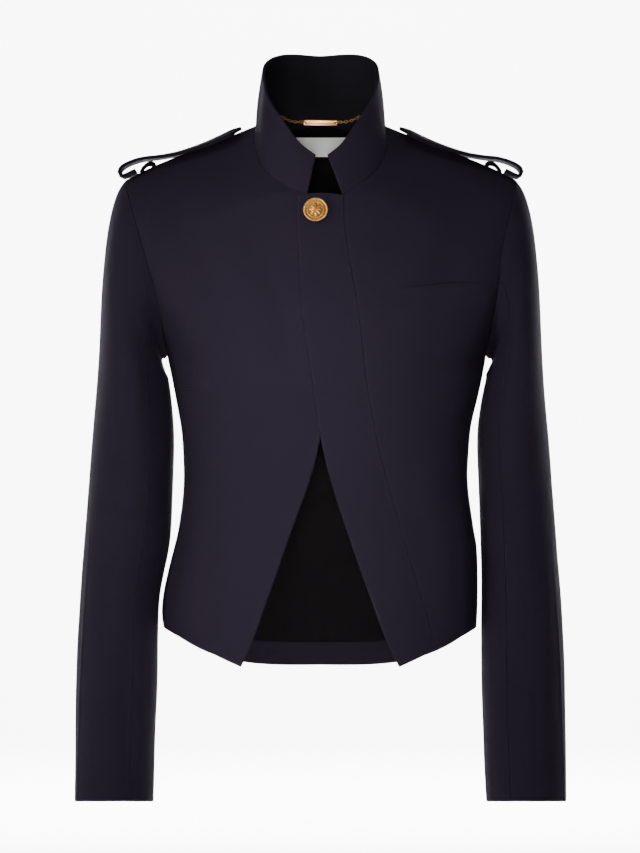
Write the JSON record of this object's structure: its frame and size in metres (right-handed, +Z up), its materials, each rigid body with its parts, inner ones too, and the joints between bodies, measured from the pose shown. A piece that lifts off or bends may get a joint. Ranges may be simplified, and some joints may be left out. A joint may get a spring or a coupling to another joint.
{
  "type": "twill jacket",
  "caption": "Waist-length navy twill jacket with a funnel collar, one metal button, a lapped placket that swings open below, a welt pocket and shoulder straps, filled out as worn",
  "frame": {"origin": "middle of the neck, level with the seam at the back of the neck, where the wearer's neck and shoulders carry the jacket", "axes": "+Z up, the front faces -Y, the wearer's right is -X"},
  "size_m": [0.4766, 0.2242, 0.7331],
  "materials": {
    "twill": "navy wool-like twill with a fine diagonal rib, matt with a soft sheen",
    "inner_cloth": "the same twill in shade, nearly black, inside the collar and the hem",
    "lining": "smooth dark lining with a low satin gloss",
    "gold": "bright gold-coloured metal",
    "label": "white woven tape, bare"
  },
  "bodies": {
    "root": {"front_right": "twill", "front_left": "twill", "placket": "twill", "back_right": "twill", "back_left": "twill", "collar_outer": "twill", "collar_inner": "inner_cloth", "top_sleeve_right": "twill", "under_sleeve_right": "twill", "top_sleeve_left": "twill", "under_sleeve_left": "twill", "back_hem_band": "inner_cloth", "back_lining": "lining", "chest_welt": "twill", "epaulette_right": "twill", "epaulette_left": "twill", "keeper_right": "twill", "keeper_left": "twill", "button": "gold", "hanger_chain_right": "gold", "hanger_chain_left": "gold", "hanger_plate": "gold", "neck_label": "label"}
  },
  "joints": []
}
